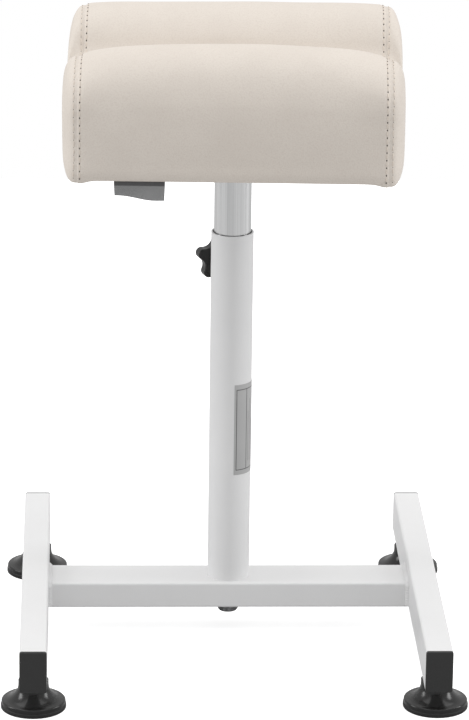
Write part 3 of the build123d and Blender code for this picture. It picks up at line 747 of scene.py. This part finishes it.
def ringNormals(rings):
    along = np.roll(rings, -1, axis=1) - np.roll(rings, 1, axis=1)
    across = np.gradient(rings, axis=0)
    normals = np.cross(along, across)
    normals /= np.maximum(np.linalg.norm(normals, axis=2, keepdims=True), 1e-12)
    outward = (normals * (rings - rings.reshape(-1, 3).mean(0))).sum(2)
    return normals if outward.mean() > 0 else -normals


def ringPlaces(rings):
    return np.r_[0, np.cumsum(np.linalg.norm(np.diff(rings, axis=0), axis=2).mean(1))]


def sewSeams(rings, seamRing):
    normals = ringNormals(rings)
    ringCount, count = rings.shape[:2]
    travelled = ringPlaces(rings)
    depth = np.zeros((ringCount, 1))
    for ring in (seamRing, ringCount - 1 - seamRing):
        away = np.abs(travelled - travelled[ring])[:, None]
        depth -= cushion["seamDepth"] * np.exp(-(away / cushion["seamWidth"]) ** 2)
        depth -= cushion["furrow"] * np.exp(-((away - cushion["stitchFromSeam"])
                                              / cushion["furrowWidth"]) ** 2)
    moved = rings + normals * depth[:, :, None]
    for ring in range(ringCount):
        fromSeam = min(abs(travelled[ring] - travelled[seamRing]),
                       abs(travelled[ring] - travelled[ringCount - 1 - seamRing]))
        pull = cushion["gather"] * math.exp(-fromSeam / cushion["gatherReach"]) \
            * (1 - math.exp(-fromSeam / cushion["gatherStart"]))
        for index in range(count):
            point = Vector(rings[ring, index])
            if point.z < cushionBottom + cushion["stitchFloor"]:
                continue
            fold = Vector((point.y * cushion["gatherScale"], point.z * cushion["gatherScale"],
                           7 if point.x > 0 else 3))
            soft = noise.noise(point * cushion["softScale"] + Vector((5, 1, 2)))
            moved[ring, index] += normals[ring, index] * (noise.noise(fold) * pull + soft * cushion["soft"])
    return moved


def surfaceRow(surface, points):
    found, normals = [], []
    for point in points:
        place, normal, _, _ = surface.find_nearest(Vector(point))
        found.append(place)
        normals.append(normal)
    return found, normals


stitches = {"pitch": 0.0070, "length": 0.0050, "thick": 0.0010, "proud": 0.0002, "hole": 0.00062,
            "flat": 0.8, "shortest": 0.9, "longest": 1.08, "holeLong": 1.35, "holeFlat": 0.45,
            "outerRows": (0, 3), "outerShare": 0.5, "seed": 4}


def stitchTree():
    tree, entry, leave = growTree("StitchRow", {
        "Pitch": stitches["pitch"], "Length": stitches["length"], "Thickness": stitches["thick"],
        "Proud": stitches["proud"], "Hole": stitches["hole"], "Seed": stitches["seed"]})
    line = put(tree, "GeometryNodeMeshToCurve", {"Mesh": entry["Geometry"]}).outputs[0]
    spaced = put(tree, "GeometryNodeResampleCurve", {"Curve": line, "Length": entry["Pitch"]},
                 mode="LENGTH").outputs[0]
    upright = put(tree, "GeometryNodeInputNamedAttribute", {"Name": "upright"},
                  data_type="FLOAT_VECTOR").outputs[0]
    tangent = put(tree, "GeometryNodeInputTangent").outputs[0]
    along = put(tree, "FunctionNodeAlignRotationToVector", {"Vector": tangent}, axis="X").outputs[0]
    facing = put(tree, "FunctionNodeAlignRotationToVector", {"Rotation": along, "Vector": upright},
                 axis="Z", pivot_axis="X").outputs[0]

    def strewn(offset, ringCount, radius, size, finish):
        points = put(tree, "GeometryNodeSetPosition", {"Geometry": spaced, "Offset": offset}).outputs[0]
        ball = put(tree, "GeometryNodeMeshUVSphere", {"Segments": 8, "Rings": ringCount,
                                                      "Radius": radius}).outputs[0]
        smooth = put(tree, "GeometryNodeSetShadeSmooth", {"Geometry": ball}).outputs[0]
        placed = put(tree, "GeometryNodeInstanceOnPoints", {"Points": points, "Instance": smooth,
                                                            "Rotation": facing, "Scale": size}).outputs[0]
        return realized(tree, placed, finish)

    size = triple(tree, entry["Length"], entry["Thickness"],
                  reckon(tree, "MULTIPLY", entry["Thickness"], stitches["flat"]))
    vary = put(tree, "FunctionNodeRandomValue", {2: stitches["shortest"], 3: stitches["longest"],
                                                 "Seed": entry["Seed"]}, data_type="FLOAT").outputs[1]
    threads = strewn(scaled(tree, upright, entry["Proud"]), 6, 0.5, scaled(tree, size, vary), "thread")
    # dark dots between the stitches: painted shade of the needle holes
    holeSize = triple(tree, reckon(tree, "MULTIPLY", entry["Hole"], stitches["holeLong"]), entry["Hole"],
                      reckon(tree, "MULTIPLY", entry["Hole"], stitches["holeFlat"]))
    halfway = scaled(tree, tangent, reckon(tree, "MULTIPLY", entry["Pitch"], 0.5))
    holes = strewn(halfway, 5, 1.0, holeSize, "hole")
    tree.links.new(joinedParts(tree, threads, holes), leave["Geometry"])
    return tree


def lineMesh(name, points, upright):
    mesh = bpy.data.meshes.new(name)
    edges = [(n, n + 1) for n in range(len(points) - 1)]
    mesh.from_pydata([tuple(point) for point in points], edges, [])
    attribute = mesh.attributes.new("upright", "FLOAT_VECTOR", "POINT")
    attribute.data.foreach_set("vector", np.array(upright, dtype=np.float32).ravel())
    return mesh


def sewRows(rings, seamRing, mesh):
    surface = BVHTree.FromPolygons([v.co for v in mesh.vertices], [p.vertices for p in mesh.polygons])
    travelled = ringPlaces(rings)
    places = [travelled[ring] + side * cushion["stitchFromSeam"]
              for ring in (seamRing, len(rings) - 1 - seamRing) for side in (-1, 1)]
    tree = stitchTree()
    for number, place in enumerate(places):
        upper = int(np.searchsorted(travelled, place))
        share = (place - travelled[upper - 1]) / (travelled[upper] - travelled[upper - 1])
        row = rings[upper - 1] * (1 - share) + rings[upper] * share
        row = row[row[:, 2] > cushionBottom + cushion["stitchFloor"]]
        # the row starts at one bottom edge and runs over the humps to the other
        start = int(np.argmax(np.linalg.norm(np.roll(row, 1, axis=0) - row, axis=1)))
        points, normals = surfaceRow(surface, np.roll(row, -start, axis=0))
        source = addPiece("Row", lineMesh("Row", points, normals))
        hole = stitches["hole"] * (stitches["outerShare"] if number in stitches["outerRows"] else 1)
        sewn = grow("StitchRow" + str(number + 1), source, tree,
                    {"Seed": stitches["seed"] + number, "Hole": hole})
        sewn.transform(standCushion)
        stitched = addPiece("stitch_row_" + str(number + 1), sewn)
        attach(stitched, "rest")


def makeCushion():
    rings, seamRing = coverRings(cushion["outlinePoints"], cushion["inset"], cushion["middleRings"],
                                 cushion["endRings"])
    move = carryOver(rings.reshape(-1, 3), *fillOut())
    move = move.reshape(rings.shape)
    level = cushionBottom + cushion["inset"]
    move[..., 2] = np.where(rings[..., 2] < level + cushion["stillBand"], 0, move[..., 2])
    rings = rings + move
    # the bottom lies flat on the board
    rings[..., 2] -= cushion["inset"] * ease(rings[..., 2], level + cushion["flatBand"], level)
    rings = sewSeams(rings, seamRing)
    piece = addPiece("CushionCover", smoothed(closedShell("CushionCover", rings)), "cream_leatherette")
    finer = piece.modifiers.new("Finer", "SUBSURF")
    finer.levels = finer.render_levels = 1
    mesh = evaluatedMesh(piece)
    bpy.data.objects.remove(piece)
    mesh.name = "CushionCover"
    sewRows(rings, seamRing, mesh)
    mesh.transform(standCushion)
    cover = addPiece("cushion_cover", mesh)
    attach(cover, "rest")
    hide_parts("foam_core", "cover_main_panel", "cover_left_panel", "cover_right_panel")


makeCushion()
print("cushion made")


# woven tag under the front edge, a tape folded at its lower edge
tag = {"thick": 0.0004, "gap": 0.0004, "below": 0.0004, "tail": 0.005, "fall": 0.0038, "fallReach": 0.8,
       "wave": 0.0016, "waveTurn": 5.2, "waveStart": 0.4, "lean": 0.0010, "hang": 1.4, "taper": 0.0012,
       "open": 0.55, "belly": 0.9, "foldDrop": 0.02, "foldTurns": (0.5, 2.64), "foldPoints": 5,
       "tailPoints": 4, "columns": 48, "rows": 24}


def makeTag():
    points = readPoints(cadNodes["woven_tag"].data) @ intoCushion[:3, :3].T + intoCushion[:3, 3]
    low, high = points.min(0), points.max(0)
    drop = cushionBottom - low[2] - tag["thick"]
    middleY = low[1] + tag["thick"] + tag["gap"] / 2
    # tail under the cushion, down the front, round the fold, up the back, tail
    # each point is (side, share of the drop, how far back)
    path = [(-1, 0, tag["tail"] * share) for share in np.linspace(1, 0, tag["tailPoints"])[:-1]]
    path += [(-1, share, 0) for share in np.linspace(0, 1, tag["rows"])]
    path += [(-math.cos(turn), 1 + tag["foldDrop"] * math.sin(turn), 0)
             for turn in np.linspace(*tag["foldTurns"], tag["foldPoints"])]
    path += [(1, share, 0) for share in np.linspace(1, 0, tag["rows"])]
    path += [(1, 0, tag["tail"] * share) for share in np.linspace(0, 1, tag["tailPoints"])[1:]]
    count = len(path)
    verts, faces = [], []
    for column in range(tag["columns"] + 1):
        across = column / tag["columns"]
        fall = drop - tag["fall"] * (1 - float(ease(np.array(across), 0.0, tag["fallReach"])))
        for side, share, back in path:
            hang = share ** tag["hang"]
            wave = math.sin(across * tag["waveTurn"] + tag["waveStart"])
            swing = (tag["wave"] * wave - tag["lean"]) * hang
            apart = tag["open"] + tag["belly"] * math.sin(math.pi * share)
            x = low[0] + (high[0] - low[0]) * across - (across - 0.5) * tag["taper"] * hang
            y = middleY + side * tag["gap"] * apart + swing + back
            z = cushionBottom - tag["below"] - fall * share + (tag["gap"] * side if back else 0)
            verts.append((x, y, z))
    for column in range(tag["columns"]):
        for row in range(count - 1):
            here = column * count + row
            faces.append((here, here + count, here + count + 1, here + 1))
    mesh = bpy.data.meshes.new("WovenTag")
    mesh.from_pydata(verts, [], faces)
    layer = mesh.uv_layers.new(name="Tape")
    for loop in mesh.loops:
        column, row = divmod(loop.vertex_index, count)
        layer.data[loop.index].uv = (column / tag["columns"] * (high[0] - low[0]), row / count * 2 * drop)
    piece = addPiece("Tape", smoothed(mesh), "grey_tape")
    wall = piece.modifiers.new("Wall", "SOLIDIFY")
    wall.thickness = tag["thick"]
    wall.offset = 0
    solid = evaluatedMesh(piece)
    bpy.data.objects.remove(piece)
    faceOutward(solid)
    solid.transform(standCushion)
    piece = addPiece("hanging_tag", smoothed(solid))
    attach(piece, "rest")
    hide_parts("woven_tag")


makeTag()
print("tag made")


# weld beads along the crossbar's ends
weld = {"radius": 0.0041, "pitch": 0.0026, "ripple": 0.10, "sides": 14, "buried": 0.0006,
        "spacing": 0.16, "wander": 260.0, "thinnest": 0.9, "rounding": 0.0022, "lift": 0.002}


def weldTree():
    tree, entry, leave = growTree("WeldBead", {"Radius": weld["radius"], "Pitch": weld["pitch"],
                                               "Ripple": weld["ripple"], "Sides": weld["sides"]})
    line = put(tree, "GeometryNodeMeshToCurve", {"Mesh": entry["Geometry"]}).outputs[0]
    short = reckon(tree, "MULTIPLY", entry["Pitch"], weld["spacing"])
    fine = put(tree, "GeometryNodeResampleCurve", {"Curve": line, "Length": short}, mode="LENGTH").outputs[0]
    length = put(tree, "GeometryNodeSplineParameter").outputs["Length"]
    turns = reckon(tree, "FRACT", reckon(tree, "DIVIDE", length, entry["Pitch"]))
    scale = reckon(tree, "SINE", reckon(tree, "MULTIPLY", turns, math.pi))
    wander = cloudy(tree, put(tree, "GeometryNodeInputPosition").outputs[0], weld["wander"])
    swell = reckon(tree, "ADD", reckon(tree, "MULTIPLY", scale, entry["Ripple"]),
                   reckon(tree, "MULTIPLY", wander, entry["Ripple"]))
    size = reckon(tree, "MULTIPLY", reckon(tree, "ADD", swell, weld["thinnest"]), entry["Radius"])
    circle = put(tree, "GeometryNodeCurvePrimitiveCircle", {"Resolution": entry["Sides"],
                                                            "Radius": 1.0}).outputs[0]
    tube = put(tree, "GeometryNodeCurveToMesh", {"Curve": fine, "Profile Curve": circle, "Scale": size,
                                                 "Fill Caps": True}).outputs[0]
    smooth = put(tree, "GeometryNodeSetShadeSmooth", {"Geometry": tube}).outputs[0]
    tree.links.new(realized(tree, smooth, "white_powder_coat"), leave["Geometry"])
    return tree


def makeWelds():
    barLow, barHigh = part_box("crossbar")
    buried, rounding = weld["buried"], weld["rounding"]
    front, back = barLow.y + buried, barHigh.y - buried
    low, high = barLow.z + weld["lift"], barHigh.z - buried
    tree = weldTree()
    lines = []
    for side in (-1, 1):
        x = (barLow.x if side < 0 else barHigh.x) + side * buried
        lines.append([(x, front, low), (x, front, high - rounding), (x, front + rounding, high),
                      (x, back - rounding, high), (x, back, high - rounding), (x, back, low)])
    points, edges = [], []
    for line in lines:
        edges += [(len(points) + n, len(points) + n + 1) for n in range(len(line) - 1)]
        points += line
    mesh = bpy.data.meshes.new("WeldLine")
    mesh.from_pydata(points, edges, [])
    beads = grow("WeldBeads", addPiece("WeldLine", mesh), tree, {})
    faceOutward(beads)
    piece = addPiece("weld_beads", smoothed(beads))
    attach(piece, "base")
    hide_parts("crossbar_welds")


makeWelds()
print("welds made")


# threads on the feet's studs
corners = ("front_left", "front_right", "rear_left", "rear_right")
thread = {"pitch": 0.00125, "depth": 0.0006, "turnPoints": 20, "ridgeSides": 6, "rodSides": 32}


def threadTree():
    tree, entry, leave = growTree("ThreadedRod", {"Radius": 0.004, "Length": 0.04, "Pitch": thread["pitch"],
                                                  "Depth": thread["depth"], "Points": thread["turnPoints"]})
    core = reckon(tree, "SUBTRACT", entry["Radius"], entry["Depth"])
    turns = reckon(tree, "DIVIDE", reckon(tree, "SUBTRACT", entry["Length"], entry["Pitch"]), entry["Pitch"])
    helix = put(tree, "GeometryNodeCurveSpiral", {
        "Resolution": entry["Points"], "Rotations": turns, "Start Radius": core, "End Radius": core,
        "Height": reckon(tree, "MULTIPLY", turns, entry["Pitch"])}).outputs[0]
    ridge = put(tree, "GeometryNodeCurvePrimitiveCircle", {"Resolution": thread["ridgeSides"],
                                                           "Radius": entry["Depth"]}).outputs[0]
    wound = put(tree, "GeometryNodeCurveToMesh", {"Curve": helix, "Profile Curve": ridge,
                                                  "Fill Caps": True}).outputs[0]
    raised = triple(tree, z=reckon(tree, "MULTIPLY", entry["Pitch"], 0.5))
    placed = put(tree, "GeometryNodeTransform", {"Geometry": wound, "Translation": raised}).outputs[0]
    rod = put(tree, "GeometryNodeMeshCylinder", {"Vertices": thread["rodSides"], "Radius": core,
                                                 "Depth": entry["Length"]}).outputs[0]
    half = triple(tree, z=reckon(tree, "MULTIPLY", entry["Length"], 0.5))
    stood = put(tree, "GeometryNodeTransform", {"Geometry": rod, "Translation": half}).outputs[0]
    whole = joinedParts(tree, placed, stood)
    tree.links.new(realized(tree, whole, "zinc_steel"), leave["Geometry"])
    return tree


def makeStuds():
    tree = threadTree()
    for corner in corners:
        low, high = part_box(corner + "_foot_stud")
        source = addPiece("Rod", bpy.data.meshes.new("Rod"))
        rod = grow(corner + "Thread", source, tree,
                   {"Radius": (high.x - low.x) / 2, "Length": high.z - low.z})
        rod.transform(Matrix.Translation(((low.x + high.x) / 2, (low.y + high.y) / 2, low.z)))
        piece = addPiece(corner + "_threaded_stud", rod)
        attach(piece, corner + "_stud")
        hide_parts(corner + "_foot_stud")


makeStuds()
print("studs threaded")
